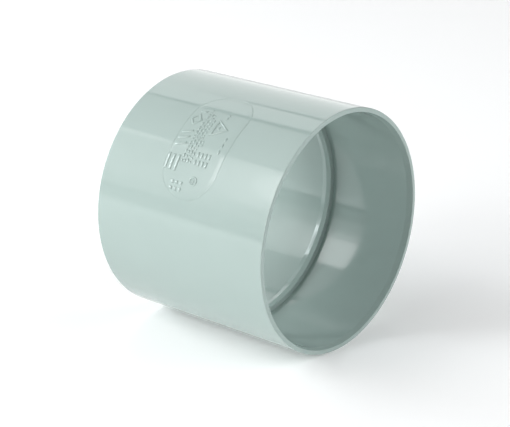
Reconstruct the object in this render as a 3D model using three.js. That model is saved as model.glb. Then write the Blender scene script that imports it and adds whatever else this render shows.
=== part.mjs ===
// Push-fit pipe coupling for 80 mm round downpipe.
//
// A plain plastic sleeve joins two pipe ends. A stop ring seated half-way along the bore
// sets how deep each pipe goes in. Both sockets are dry fits: a smooth bore with a short
// lead-in at the mouth, and no seal or seal groove.
//
// Millimetres. The axis of the bore is +X, +Z is up and the origin is on the axis at the
// middle of the stop ring, so the coupling lies on its side.

import * as THREE from 'three';

// Driving dimensions
const PIPE_DIAMETER = 80.0;
const SOCKET_CLEARANCE = 0.2; // on the radius, between a pipe and the bore
const WALL = 2.0;
const SLEEVE_LENGTH = 72.0;

const LEAD_IN_LENGTH = 2.2;
const LEAD_IN_DEPTH = 0.45; // how much the bore opens at the mouth, on the radius
const OUTER_EDGE = 0.35; // small bevel on the outer edge of each mouth

const STOP_WIDTH = 3.6;
const STOP_HEIGHT = 1.9; // how far the ring stands into the bore
const STOP_EDGE = 0.3; // bevel on the ring's two inner edges
const STOP_CROWN = 0.25; // rise of the ridge round the middle of the ring

const FOOT_WIDTH = 2.0; // the ring's foot, let into a seat in the wall
const FOOT_DEPTH = 0.7;
const SEAT_GAP = 0.3; // between the ring and the sleeve, all round

const SIDES = 48; // flats round the axis, with one of them underneath

// Worked out from the driving dimensions. A radius is to the middle of a flat.
const BORE_RADIUS = PIPE_DIAMETER / 2 + SOCKET_CLEARANCE;
const OUTER_RADIUS = BORE_RADIUS + WALL;
const HALF_LENGTH = SLEEVE_LENGTH / 2;
const HALF_STOP = STOP_WIDTH / 2;
const HALF_FOOT = FOOT_WIDTH / 2;
const STOP_RADIUS = BORE_RADIUS - STOP_HEIGHT;
const FOOT_RADIUS = BORE_RADIUS + FOOT_DEPTH;

const HALF_FLAT_ANGLE = Math.PI / SIDES;
const CORNER_PER_FLAT = 1 / Math.cos(HALF_FLAT_ANGLE);

const PVC_COLOUR = 0xb7c8c2;
const PVC_ROUGHNESS = 0.2;

function pvc(name) {
  return new THREE.MeshStandardMaterial({
    name,
    color: PVC_COLOUR,
    roughness: PVC_ROUGHNESS,
    metalness: 0,
  });
}

// A ring turned about the lathe's axis. Its section is the same on both sides of the
// middle, so only one half is given, as [along the axis, radius] points from the outside in.
function ring(name, halfSection) {
  const offMiddle = halfSection.filter(([along]) => along > 0);
  const mirrored = offMiddle.map(([along, radius]) => [-along, radius]).reverse();
  const section = [...halfSection, ...mirrored, halfSection[0]];
  const corners = section.map(([along, radius]) => new THREE.Vector2(radius * CORNER_PER_FLAT, along));
  const geometry = new THREE.LatheGeometry(corners, SIDES);
  const mesh = new THREE.Mesh(geometry, pvc(name));
  mesh.name = name;
  return mesh;
}

function makeSleeve() {
  return ring('sleeve', [
    [HALF_LENGTH - OUTER_EDGE, OUTER_RADIUS],
    [HALF_LENGTH, OUTER_RADIUS - OUTER_EDGE],
    [HALF_LENGTH, BORE_RADIUS + LEAD_IN_DEPTH],
    [HALF_LENGTH - LEAD_IN_LENGTH, BORE_RADIUS],
    [HALF_FOOT + SEAT_GAP, BORE_RADIUS],
    [HALF_FOOT + SEAT_GAP, FOOT_RADIUS + SEAT_GAP],
  ]);
}

// The ring is wider than its foot, so its two shoulders cover the seat in the sleeve.
function makeStopRing() {
  return ring('stop_ring', [
    [HALF_FOOT, FOOT_RADIUS],
    [HALF_FOOT, BORE_RADIUS - SEAT_GAP],
    [HALF_STOP, BORE_RADIUS - SEAT_GAP],
    [HALF_STOP, STOP_RADIUS + STOP_EDGE],
    [HALF_STOP - STOP_EDGE, STOP_RADIUS],
    [0, STOP_RADIUS - STOP_CROWN],
  ]);
}

// The lathe turns about Y, so the group is turned to bring that axis onto X. Half a flat
// of spin then puts a flat underneath.
const coupling = new THREE.Group();
coupling.add(makeSleeve());
coupling.add(makeStopRing());
coupling.rotation.set(HALF_FLAT_ANGLE, 0, Math.PI / 2, 'XYZ');

export default coupling;
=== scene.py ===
"""Looks of a push-fit pipe coupling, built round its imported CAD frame.

Lengths are in metres and angles in radians. The axis of the bore is +X and +Z is up, so
the coupling lies on its side. An angle round the axis is measured from +Y towards +Z:
a quarter turn is the top, and half a turn is the -Y side, where the marking is.
"""

import logging
import math
import random
from collections.abc import Iterable, Sequence
from dataclasses import dataclass, field
from enum import Enum

import bmesh
import bpy
from mathutils import Matrix, Vector


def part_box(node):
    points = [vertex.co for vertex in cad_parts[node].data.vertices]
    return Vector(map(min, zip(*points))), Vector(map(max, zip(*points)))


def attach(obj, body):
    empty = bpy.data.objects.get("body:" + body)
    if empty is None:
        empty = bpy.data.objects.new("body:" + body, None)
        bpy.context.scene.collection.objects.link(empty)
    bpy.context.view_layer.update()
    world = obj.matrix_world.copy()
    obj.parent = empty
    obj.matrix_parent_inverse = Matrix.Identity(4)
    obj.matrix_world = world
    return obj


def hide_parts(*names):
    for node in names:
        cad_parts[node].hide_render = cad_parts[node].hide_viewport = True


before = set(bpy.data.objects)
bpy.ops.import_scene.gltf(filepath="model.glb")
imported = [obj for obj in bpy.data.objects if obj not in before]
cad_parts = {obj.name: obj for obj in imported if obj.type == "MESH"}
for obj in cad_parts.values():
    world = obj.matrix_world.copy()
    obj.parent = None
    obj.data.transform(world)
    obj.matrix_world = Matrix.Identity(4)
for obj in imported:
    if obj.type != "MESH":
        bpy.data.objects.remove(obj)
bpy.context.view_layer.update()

MM = 0.001
BODY = "root"
log = logging.getLogger("coupling")

Point = tuple[float, float]


# ---------------------------------------------------------------- shader helpers


class Socket:
    """An output of a node, on which arithmetic adds Math nodes."""

    def __init__(self, graph: "Graph", output: bpy.types.NodeSocket) -> None:
        """Wrap an output.

        Args:
            graph: the graph that new nodes go into.
            output: the node output that this stands for.
        """
        self.graph = graph
        self.output = output

    def _math(self, operation: str, *values: "Socket | float") -> "Socket":
        """Add a Math node.

        Args:
            operation: Blender's name of the operation.
            values: its inputs, in order.

        Returns:
            The node's result.
        """
        return self.graph.add("ShaderNodeMath", {"operation": operation}, dict(enumerate(values)))

    def __add__(self, other: "Socket | float") -> "Socket":
        """Return self + other."""
        return self._math("ADD", self, other)

    __radd__ = __add__

    def __sub__(self, other: "Socket | float") -> "Socket":
        """Return self - other."""
        return self._math("SUBTRACT", self, other)

    def __rsub__(self, other: float) -> "Socket":
        """Return other - self."""
        return self._math("SUBTRACT", other, self)

    def __mul__(self, other: "Socket | float") -> "Socket":
        """Return self * other."""
        return self._math("MULTIPLY", self, other)

    __rmul__ = __mul__

    def clamped(self) -> "Socket":
        """Return self held between 0 and 1."""
        return self._math("MAXIMUM", self._math("MINIMUM", self, 1.0), 0.0)


class Graph:
    """The node tree of one material."""

    def __init__(self, name: str) -> None:
        """Make a material with an empty tree.

        Args:
            name: the material's name.
        """
        self.material = bpy.data.materials.new(name)
        self.material.use_nodes = True
        self.tree = self.material.node_tree
        self.tree.nodes.clear()

    def add(
        self,
        kind: str,
        settings: dict[str, object] | None = None,
        inputs: dict[int | str, object] | None = None,
        output: int | str = 0,
    ) -> Socket:
        """Add one node.

        Args:
            kind: the node's type name.
            settings: attributes of the node, set before its inputs.
            inputs: values or links by socket name or number.
            output: which output to return.

        Returns:
            The chosen output, or the first input of a node that has no outputs.
        """
        node = self.tree.nodes.new(kind)
        for key, value in (settings or {}).items():
            setattr(node, key, value)
        for key, value in (inputs or {}).items():
            if isinstance(value, Socket):
                self.tree.links.new(value.output, node.inputs[key])
            else:
                node.inputs[key].default_value = value
        return Socket(self, node.outputs[output] if node.outputs else node.inputs[0])


# ---------------------------------------------------------------- finishes


class Tone(Enum):
    """The plastic's colours, as linear red, green and blue."""

    BODY = (0.350, 0.433, 0.409)
    DEEP = (0.335, 0.418, 0.394)


@dataclass(frozen=True)
class MouldedPvc:
    """Glossy injection-moulded rigid PVC, with faint flow clouds, waves and polish marks.

    The moulded shape has a slight unevenness that bends reflections, and the tool's
    polishing leaves fine rings round the axis.
    """

    name: str
    roughness: float = 0.075
    roughness_spread: float = 0.03
    ior: float = 1.53
    cloud_size: float = 16 * MM
    wave_size: float = 11 * MM
    wave_height: float = 0.012 * MM
    polish_spacing: float = 0.9 * MM
    polish_height: float = 0.0015 * MM
    grain_size: float = 0.7 * MM
    grain_height: float = 0.0010 * MM

    def material(self) -> bpy.types.Material:
        """Build the material.

        Returns:
            The material, ready to assign.
        """
        graph = Graph(self.name)
        place = graph.add("ShaderNodeTexCoord", output="Object")
        clouds = self._noise(graph, place, 1 / self.cloud_size, detail=3.0)
        rings = self._rings(graph, place)
        grain = self._noise(graph, place, 1 / self.grain_size, detail=2.0)
        colour = graph.add(
            "ShaderNodeMix",
            {"data_type": "RGBA"},
            {
                "Factor": clouds.clamped(),
                "A": (*Tone.DEEP.value, 1.0),
                "B": (*Tone.BODY.value, 1.0),
            },
            output="Result",
        )
        uneven = (clouds - 0.5) + (rings - 0.5) * 0.6
        rough = self.roughness + uneven * self.roughness_spread
        shader = graph.add(
            "ShaderNodeBsdfPrincipled",
            inputs={
                "Base Color": colour,
                "Roughness": rough.clamped(),
                "IOR": self.ior,
                "Normal": self._unevenness(graph, place, rings, grain),
            },
        )
        graph.add("ShaderNodeOutputMaterial", inputs={"Surface": shader})
        return graph.material

    def _noise(self, graph: Graph, place: Socket, scale: float, detail: float) -> Socket:
        """Add a noise texture.

        Args:
            graph: the graph to add to.
            place: texture coordinates.
            scale: spots per metre.
            detail: octaves.

        Returns:
            The noise, about 0.5 on average.
        """
        return graph.add(
            "ShaderNodeTexNoise",
            inputs={"Vector": place, "Scale": scale, "Detail": detail, "Roughness": 0.55},
        )

    def _rings(self, graph: Graph, place: Socket) -> Socket:
        """Add fine rings round the axis, from noise that hardly changes across it.

        Args:
            graph: the graph to add to.
            place: texture coordinates.

        Returns:
            The rings, about 0.5 on average.
        """
        along = graph.add(
            "ShaderNodeVectorMath",
            {"operation": "MULTIPLY"},
            {0: place, 1: (1.0, 0.03, 0.03)},
        )
        return self._noise(graph, along, 1 / self.polish_spacing, detail=3.0)

    def _unevenness(self, graph: Graph, place: Socket, rings: Socket, grain: Socket) -> Socket:
        """Add up the slow waves, the rings and the grain as one bump.

        Args:
            graph: the graph to add to.
            place: texture coordinates.
            rings: the polish rings.
            grain: the fine grain.

        Returns:
            The bumped normal.
        """
        waves = self._noise(graph, place, 1 / self.wave_size, detail=1.0)
        height = waves * self.wave_height + rings * self.polish_height + grain * self.grain_height
        return graph.add(
            "ShaderNodeBump",
            inputs={"Strength": 1.0, "Distance": 1.0, "Height": height},
        )


@dataclass(frozen=True)
class PaintedFloor:
    """A matt pale studio floor with very faint mottling and a weak glow of its own."""

    name: str = "studio_floor"
    light: float = 0.93
    dark: float = 0.91
    glow: float = 0.13
    mottle_scale: float = 9.0

    def material(self) -> bpy.types.Material:
        """Build the material.

        Returns:
            The material, ready to assign.
        """
        graph = Graph(self.name)
        place = graph.add("ShaderNodeTexCoord", output="Object")
        mottle = graph.add("ShaderNodeTexNoise", inputs={"Vector": place, "Scale": self.mottle_scale})
        colour = graph.add(
            "ShaderNodeMix",
            {"data_type": "RGBA"},
            {
                "Factor": mottle.clamped(),
                "A": (self.dark, self.dark, self.dark, 1.0),
                "B": (self.light, self.light, self.light, 1.0),
            },
            output="Result",
        )
        shader = graph.add(
            "ShaderNodeBsdfPrincipled",
            inputs={
                "Base Color": colour,
                "Roughness": 0.9,
                "Specular IOR Level": 0.1,
                "Emission Color": (1.0, 1.0, 1.0, 1.0),
                "Emission Strength": self.glow,
            },
        )
        graph.add("ShaderNodeOutputMaterial", inputs={"Surface": shader})
        return graph.material


# ---------------------------------------------------------------- sections and meshes


@dataclass(frozen=True)
class Corner:
    """A corner of a turned section: its place along the axis, its radius and its rounding."""

    along: float
    radius: float
    rounding: float = 0.0


def mirrored(corners: Sequence[Corner]) -> list[Corner]:
    """Return the same corners at the other end of the axis, in reverse order."""
    return [Corner(-corner.along, corner.radius, corner.rounding) for corner in reversed(corners)]


def rounded_section(corners: Sequence[Corner], steps: int = 6, hold: float = 0.05 * MM) -> list[Point]:
    """Round the corners of a closed section.

    Each rounding ends in a narrow flat strip, so that smooth shading stays on the
    rounding and leaves the long faces flat.

    Args:
        corners: the section's corners in order.
        steps: facets on each rounding.
        hold: width of the strip beside a rounding.

    Returns:
        Points as (along, radius), once round the section.
    """
    points: list[Point] = []
    for index, corner in enumerate(corners):
        here = Vector((corner.along, corner.radius))
        if corner.rounding == 0.0:
            points.append((here.x, here.y))
            continue
        before, after = corners[index - 1], corners[(index + 1) % len(corners)]
        back = (Vector((before.along, before.radius)) - here).normalized()
        on = (Vector((after.along, after.radius)) - here).normalized()
        half = back.angle(on) / 2
        reach = corner.rounding / math.tan(half)
        centre = here + (back + on).normalized() * corner.rounding / math.sin(half)
        start, end = here + back * reach - centre, here + on * reach - centre
        turn = start.angle(end)
        points.append(tuple(here + back * (reach + hold)))
        for step in range(steps + 1):
            share = step / steps
            weight = (math.sin((1 - share) * turn), math.sin(share * turn))
            point = centre + (start * weight[0] + end * weight[1]) / math.sin(turn)
            points.append((point.x, point.y))
        points.append(tuple(here + on * (reach + hold)))
    return points


def mesh_object(name: str, bm: bmesh.types.BMesh, sharp_over: float = 40.0) -> bpy.types.Object:
    """Turn a bmesh into a smooth-shaded object in the scene.

    Args:
        name: the piece's name.
        bm: its mesh, which is freed.
        sharp_over: edges that turn by more degrees than this stay sharp.

    Returns:
        The object.
    """
    bmesh.ops.recalc_face_normals(bm, faces=bm.faces)
    mesh = bpy.data.meshes.new(name)
    bm.to_mesh(mesh)
    bm.free()
    mesh.shade_smooth()
    mesh.set_sharp_from_angle(angle=math.radians(sharp_over))
    piece = bpy.data.objects.new(name, mesh)
    bpy.context.scene.collection.objects.link(piece)
    return piece


def close_rows(bm: bmesh.types.BMesh, rows: list[list[bmesh.types.BMVert]], ring: bool) -> None:
    """Join rows of vertices into quads, each row closed on itself.

    Args:
        bm: the mesh.
        rows: rows of vertices with the same count.
        ring: True if the last row joins the first, False if the ends get caps.
    """
    pairs = list(zip(rows, rows[1:] + rows[:1], strict=True))
    for row, following in pairs if ring else pairs[:-1]:
        for index, vert in enumerate(row):
            beside = (index + 1) % len(row)
            bm.faces.new((vert, row[beside], following[beside], following[index]))
    if not ring:
        bm.faces.new(rows[0])
        bm.faces.new(rows[-1])


# ---------------------------------------------------------------- the sleeve's marking


@dataclass(frozen=True)
class Plate:
    """The oblong field that carries the marking: very slightly raised, with soft edges.

    Places on it are (round, along): the distance round the sleeve from its middle
    towards the top, and the distance along the axis from the sleeve's middle.
    """

    middle: float = 2.30
    length: float = 42.0 * MM
    width: float = 22.8 * MM
    rise: float = 0.08 * MM
    slope_width: float = 1.2 * MM

    def inset(self, place: Point) -> float:
        """Return how far a place is inside the plate's outline, negative outside."""
        end = self.width / 2
        straight = self.length / 2 - end
        past = max(abs(place[0]) - straight, 0.0)
        return end - math.hypot(past, place[1])

    def height(self, place: Point) -> float:
        """Return how much the plate lifts the surface at a place."""
        share = min(max(self.inset(place) / self.slope_width, 0.0), 1.0)
        return self.rise * share * share * (3 - 2 * share)

    def outline(self, steps: int = 40) -> list[Point]:
        """Return the outline as a closed path.

        Args:
            steps: points on each round end.

        Returns:
            Places in order round the outline.
        """
        end = self.width / 2
        straight = self.length / 2 - end
        path: list[Point] = []
        for side in (1, -1):
            for step in range(steps + 1):
                angle = math.pi * (step / steps - 0.5)
                path.append((side * (straight + end * math.cos(angle)), side * end * math.sin(angle)))
        return path


@dataclass
class Marking:
    """Raised moulded marks on the sleeve: plain bars, dashes, open shapes, a dial and studs.

    Every mark is a stroke with bevelled shoulders, bent to the sleeve's surface. The marks
    are laid out in millimetres, as (round, along) places on the plate.
    """

    radius: float
    plate: Plate
    rise: float = 0.17 * MM
    witness_rise: float = 0.06 * MM
    root: float = 0.12 * MM
    bevel: float = 0.16 * MM
    shortest_dash: float = 0.4
    bm: bmesh.types.BMesh = field(default_factory=bmesh.new)

    def build(self) -> bpy.types.Object:
        """Make all marks as one piece.

        Returns:
            The piece, which rides on the coupling's body.
        """
        self._witness_line()
        self._large_blocks()
        self._small_dashes()
        self._short_bars()
        self._triangle()
        self._dial()
        self._stud_grid()
        piece = mesh_object("sleeve_marking", self.bm, sharp_over=60.0)
        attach(piece, BODY)
        return piece

    def _on_surface(self, place: Point, lift: float) -> Vector:
        """Return the point that stands lift above the sleeve at a place on the plate."""
        angle = self.plate.middle - place[0] / self.radius
        radius = self.radius + self.plate.height(place) + lift
        return Vector((place[1], radius * math.cos(angle), radius * math.sin(angle)))

    def _stroke(
        self,
        path: Sequence[Point],
        width: float,
        closed: bool = False,
        rise: float | None = None,
    ) -> None:
        """Add one stroke.

        Args:
            path: places in millimetres on the plate that its middle line follows.
            width: width in millimetres.
            closed: True if the last place joins the first.
            rise: height above the surface in metres, or None for the usual one.
        """
        top = self.rise if rise is None else rise
        bevel = min(self.bevel, top * 0.6, width * MM * 0.3)
        half = width * MM / 2
        left = [(-half, -self.root), (-half, top - bevel), (bevel - half, top)]
        section = left + [(-across, lift) for across, lift in reversed(left)]
        places = self._stepped(path, closed)
        if not closed:
            places = self._with_eased_ends(places, bevel)
        rows = []
        for index, place in enumerate(places):
            side = self._side(places, index, closed)
            drop = bevel if not closed and index in (0, len(places) - 1) else 0.0
            row = []
            for across, lift in section:
                point = (place[0] + side[0] * across, place[1] + side[1] * across)
                row.append(self.bm.verts.new(self._on_surface(point, min(lift, top - drop))))
            rows.append(row)
        close_rows(self.bm, rows, ring=closed)

    @staticmethod
    def _stepped(path: Sequence[Point], closed: bool) -> list[Point]:
        """Return a path in metres, with places added so that it follows the sleeve's curve."""
        corners = [Vector(place) * MM for place in path]
        places: list[Point] = []
        for start, end in zip(corners, corners[1:] + corners[:1], strict=True):
            steps = max(1, math.ceil(abs(end.x - start.x) / MM))
            places += [tuple(start.lerp(end, step / steps)) for step in range(steps)]
            if not closed and end == corners[-1]:
                return [*places, tuple(end)]
        return places

    @staticmethod
    def _with_eased_ends(places: list[Point], bevel: float) -> list[Point]:
        """Add a place just inside each end of an open path, for the bevel there."""
        first, last = Vector(places[0]), Vector(places[-1])
        on = (Vector(places[1]) - first).normalized() * bevel
        back = (Vector(places[-2]) - last).normalized() * bevel
        return [places[0], tuple(first + on), *places[1:-1], tuple(last + back), places[-1]]

    @staticmethod
    def _side(places: Sequence[Point], index: int, closed: bool) -> Point:
        """Return the sideways direction at a place, lengthened at a bend to keep the width."""
        here = Vector(places[index])
        ways = []
        if closed or index > 0:
            ways.append((here - Vector(places[index - 1])).normalized())
        if closed or index < len(places) - 1:
            ways.append((Vector(places[(index + 1) % len(places)]) - here).normalized())
        mean = (ways[0] + ways[-1]).normalized()
        least = 0.3  # so that a sharp bend isn't drawn out into a spike
        length = 1 / max(mean.dot(ways[0]), least)
        return (-mean.y * length, mean.x * length)

    def _bar(self, start: Point, end: Point, width: float) -> None:
        """Add a straight stroke from one place to another."""
        self._stroke([start, end], width)

    def _level_bar(self, start: Point, length: float, width: float) -> None:
        """Add a straight stroke that goes round the sleeve from a place."""
        self._bar(start, (start[0] + length, start[1]), width)

    def _witness_line(self) -> None:
        """Add the fine line that the marking insert leaves round its edge."""
        path = [(u / MM, v / MM) for u, v in self.plate.outline()]
        self._stroke(path, 0.26, closed=True, rise=self.witness_rise)

    def _large_blocks(self) -> None:
        """Add the row of large plain blocks along the plate's lower edge."""
        for along in (-10.3, -8.2, -6.1):
            self._level_bar((-12.4, along), 5.6, 0.95)
        for start in (-3.6, -1.2, 1.2):
            self._bar((start, -10.3), (start + 1.4, -6.0), 0.75)
        self._stroke([(7.2, -10.2), (9.3, -8.1), (7.2, -6.0), (5.1, -8.1)], 0.7, closed=True)
        self._bar((11.2, -8.7), (11.2, -6.2), 0.9)

    def _small_dashes(self) -> None:
        """Add the rows of small dashes across the middle, each of a length drawn by lot."""
        draw = random.Random(11)
        long_rows = [(-4.5 + 1.2 * row, -8.8, 12.6 - 1.1 * row) for row in range(4)]
        for along, place, last in (*long_rows, (0.3, -2.2, -0.2)):
            while place < last - self.shortest_dash:
                length = draw.uniform(0.45, 1.5)
                self._level_bar((place, along), min(length, last - place), 0.55)
                place += length + draw.uniform(0.4, 0.8)

    def _short_bars(self) -> None:
        """Add two columns of short bars, and a row of three more beyond them."""
        for along in (0.9, 2.5, 4.1, 5.7):
            for start in (-9.0, -6.2):
                self._level_bar((start, along), 1.9, 0.75)
        for start in (-3.4, -1.0, 1.4):
            self._level_bar((start, 8.2), 1.5, 0.6)

    def _triangle(self) -> None:
        """Add an open triangle with a short bar in it, and two small bars above it."""
        self._stroke([(2.6, 1.1), (8.8, 1.1), (5.7, 6.2)], 0.6, closed=True)
        self._level_bar((5.1, 2.8), 1.2, 0.8)
        for start in (9.9, 11.4):
            self._level_bar((start, 3.0), 0.9, 0.6)

    def _dial(self) -> None:
        """Add a small dial: a circle, a middle stud and short ticks."""
        middle, size = (-14.2, 3.0), 1.35
        circle = [self._polar(middle, size, step / 24) for step in range(24)]
        self._stroke(circle, 0.4, closed=True)
        self._level_bar((middle[0] - 0.3, middle[1]), 0.6, 0.6)
        for step in range(6):
            self._bar(self._polar(middle, 0.65, step / 6), self._polar(middle, 0.95, step / 6), 0.25)

    @staticmethod
    def _polar(middle: Point, radius: float, turn: float) -> Point:
        """Return the point at a radius and a share of a turn round a middle."""
        angle = turn * 2 * math.pi
        return (middle[0] + radius * math.cos(angle), middle[1] + radius * math.sin(angle))

    def _stud_grid(self) -> None:
        """Add the block of small square studs near the plate's lower end."""
        for column in range(2):
            for row in range(3):
                self._level_bar((-18.6 + 2.1 * column, -5.4 + 1.9 * row), 1.2, 1.1)


# ---------------------------------------------------------------- the coupling


@dataclass
class Coupling:
    """The sleeve and its stop ring, turned about the axis at their real round shape."""

    half_length: float
    outer: float
    half_stop: float
    bore: float = 40.2 * MM
    lead_in_length: float = 2.2 * MM
    lead_in_depth: float = 0.45 * MM
    stop_height: float = 1.9 * MM
    stop_crown: float = 0.25 * MM
    foot_depth: float = 0.7 * MM
    half_foot: float = 1.0 * MM
    seam: float = 0.02 * MM
    outer_rounding: float = 0.35 * MM
    mouth_rounding: float = 0.12 * MM
    lead_in_rounding: float = 1.2 * MM
    seat_rounding: float = 0.04 * MM
    shoulder_rounding: float = 0.05 * MM
    stop_rounding: float = 0.22 * MM
    ridge_rounding: float = 0.1 * MM
    segments: int = 384
    plate: Plate = field(default_factory=Plate)

    @classmethod
    def from_frame(cls) -> "Coupling":
        """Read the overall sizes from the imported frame.

        Returns:
            The coupling, with its sizes taken from the boxes of the two nodes.
        """
        sleeve_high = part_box("sleeve")[1]
        stop_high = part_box("stop_ring")[1]
        return cls(half_length=sleeve_high.x, outer=sleeve_high.z, half_stop=stop_high.x)

    def build(self) -> list[bpy.types.Object]:
        """Build and dress every piece.

        Returns:
            The pieces.
        """
        finish = MouldedPvc("moulded_pvc").material()
        pieces = [self._sleeve(), Marking(self.outer, self.plate).build(), self._stop_ring()]
        for piece in pieces:
            piece.data.materials.append(finish)
        return pieces

    def _sleeve(self) -> bpy.types.Object:
        """Build the sleeve.

        Returns:
            The sleeve, which replaces its CAD node.
        """
        piece = mesh_object("moulded_sleeve", self._turned(self._sleeve_section()))
        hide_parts("sleeve")
        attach(piece, BODY)
        return piece

    def _sleeve_section(self) -> list[Point]:
        """Return the sleeve's section, with its outer face split so that the plate can rise."""
        end, bore, mouth = self.half_length, self.bore, self.bore + self.lead_in_depth
        seat, foot = bore + self.foot_depth + self.seam, self.half_foot + self.seam
        half = [
            Corner(end, self.outer, self.outer_rounding),
            Corner(end, mouth, self.mouth_rounding),
            Corner(end - self.lead_in_length, bore, self.lead_in_rounding),
            Corner(foot, bore, self.seat_rounding),
            Corner(foot, seat),
        ]
        section = rounded_section([*half, *mirrored(half)])
        reach, step = self.plate.width / 2 + 1 * MM, 0.6 * MM
        count = round(2 * reach / step)
        return section + [(-reach + 2 * reach * i / count, self.outer) for i in range(count + 1)]

    def _stop_ring(self) -> bpy.types.Object:
        """Build the stop ring.

        Returns:
            The ring, which replaces its CAD node.
        """
        top = self.bore - self.stop_height
        half = [
            Corner(self.half_foot, self.bore + self.foot_depth),
            Corner(self.half_foot, self.bore - self.seam),
            Corner(self.half_stop, self.bore - self.seam, self.shoulder_rounding),
            Corner(self.half_stop, top, self.stop_rounding),
        ]
        ridge = [Corner(0.0, top - self.stop_crown, self.ridge_rounding)]
        section = rounded_section([*half, *ridge, *mirrored(half)])
        piece = mesh_object("moulded_stop_ring", self._turned(section))
        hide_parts("stop_ring")
        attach(piece, BODY)
        return piece

    def _turned(self, section: Iterable[Point]) -> bmesh.types.BMesh:
        """Turn a section about the axis, lifting the outer face where the plate is.

        Args:
            section: points as (along, radius), once round the section.

        Returns:
            The closed solid.
        """
        bm = bmesh.new()
        points = list(section)
        rows = []
        for step in range(self.segments):
            angle = 2 * math.pi * step / self.segments
            around = (self.plate.middle - angle) * self.outer
            row = []
            for along, radius in points:
                lift = self.plate.height((around, along)) if radius >= self.outer else 0.0
                out = radius + lift
                row.append(bm.verts.new((along, out * math.cos(angle), out * math.sin(angle))))
            rows.append(row)
        close_rows(bm, rows, ring=True)
        return bm


# ---------------------------------------------------------------- the studio


@dataclass(frozen=True)
class Softbox:
    """A flat rectangular light that faces the middle of the coupling.

    Its place is given by the angles that it spans, in degrees. A slant is how far a
    direction is from -X, and a turn is how far round -X it is, from +Y towards +Z. Its
    strength is its power for each square metre.
    """

    name: str
    slants: Point
    turns: Point
    strength: float
    colour: tuple[float, float, float] = (1.0, 1.0, 1.0)
    distance: float = 2.0

    def build(self) -> bpy.types.Object:
        """Make the light.

        Returns:
            The light's object.
        """
        slant, turn = (math.radians(sum(span) / 2) for span in (self.slants, self.turns))
        half_slant, half_turn = (math.radians(high - low) / 2 for low, high in (self.slants, self.turns))
        side, up = math.sin(slant) * math.cos(turn), math.sin(slant) * math.sin(turn)
        out = Vector((-math.cos(slant), side, up))
        across = Vector((0.0, -math.sin(turn), math.cos(turn)))
        data = bpy.data.lights.new(self.name, "AREA")
        data.shape = "RECTANGLE"
        data.size = 2 * self.distance * math.sin(slant) * math.tan(half_turn)
        data.size_y = 2 * self.distance * math.tan(half_slant)
        data.energy, data.color = self.strength * data.size * data.size_y, self.colour
        light = bpy.data.objects.new(self.name, data)
        light.matrix_world = Matrix((across, out.cross(across), out)).transposed().to_4x4()
        light.location = out * self.distance
        bpy.context.scene.collection.objects.link(light)
        return light


@dataclass
class Studio:
    """A pale floor, soft lights and the camera, sized from the coupling."""

    coupling: Coupling
    sky: float = 0.10
    floor_size: float = 3.0
    camera_bearing: float = -50.28
    camera_height: float = 20.26
    camera_radii: float = 14.09
    lens: float = 121.9
    aim_off: Point = (-0.0022, -0.0030)
    softboxes: tuple[Softbox, ...] = (
        Softbox("back_low", (40, 68), (-1, 47.5), 4.4),
        Softbox("back_high", (40, 68), (50.5, 69), 4.9),
        Softbox("top_fill", (40, 68), (74, 117), 3.0),
        Softbox("key_tail", (36, 74), (118, 177), 1.4),
        Softbox("key_outer", (36, 74), (118, 166), 2.1),
        Softbox("key_middle", (36, 74), (118, 157), 1.5),
        Softbox("key_inner", (52, 74), (119, 152), 3.2),
        Softbox("key_core", (54.3, 74), (121, 146), 6.6),
        Softbox("far_key", (12, 37), (108, 162), 25.5, (0.94, 1.0, 1.03), distance=0.8),
        Softbox("side_low", (68, 92), (142, 178), 18.9, distance=0.8),
        Softbox("front_right", (118, 165), (0, 80), 8.5, (0.98, 1.0, 1.01)),
        Softbox("front_left", (118, 165), (100, 180), 1.0),
    )

    def build(self) -> None:
        """Set up the floor, the lights and the camera."""
        self._floor()
        self._sky()
        for box in self.softboxes:
            box.build()
        self._camera()
        bpy.context.scene.view_settings.view_transform = "Standard"

    def _floor(self) -> None:
        """Lay the floor under the coupling."""
        bm = bmesh.new()
        bmesh.ops.create_grid(bm, x_segments=2, y_segments=2, size=self.floor_size)
        floor = mesh_object("studio_floor", bm)
        floor.location.z = -self.coupling.outer
        floor.data.materials.append(PaintedFloor().material())

    def _sky(self) -> None:
        """Fill the studio with an even pale light."""
        world = bpy.data.worlds.new("studio_sky")
        world.use_nodes = True
        background = world.node_tree.nodes["Background"]
        background.inputs["Color"].default_value = (1.0, 1.0, 1.0, 1.0)
        background.inputs["Strength"].default_value = self.sky
        bpy.context.scene.world = world

    def _camera(self) -> None:
        """Place the camera."""
        data = bpy.data.cameras.new("camera")
        data.lens, data.sensor_width = self.lens, 36.0
        camera = bpy.data.objects.new("camera", data)
        bearing, height = math.radians(self.camera_bearing), math.radians(self.camera_height)
        level = math.cos(height)
        out = Vector((level * math.cos(bearing), level * math.sin(bearing), math.sin(height)))
        right = Vector((0, 0, 1)).cross(out).normalized()
        up = out.cross(right)
        aim = -out + right * self.aim_off[0] + up * self.aim_off[1]
        camera.location = out * self.camera_radii * self.coupling.outer
        camera.rotation_mode = "QUATERNION"
        camera.rotation_quaternion = aim.to_track_quat("-Z", "Y")
        data.clip_start, data.clip_end = 0.01, 50.0
        bpy.context.scene.collection.objects.link(camera)
        bpy.context.scene.camera = camera


def main() -> None:
    logging.basicConfig(level=logging.INFO, format="%(name)s: %(message)s")
    coupling = Coupling.from_frame()
    for piece in coupling.build():
        log.info("%s has %d faces", piece.name, len(piece.data.polygons))
    Studio(coupling).build()


if __name__ == "__main__":
    main()
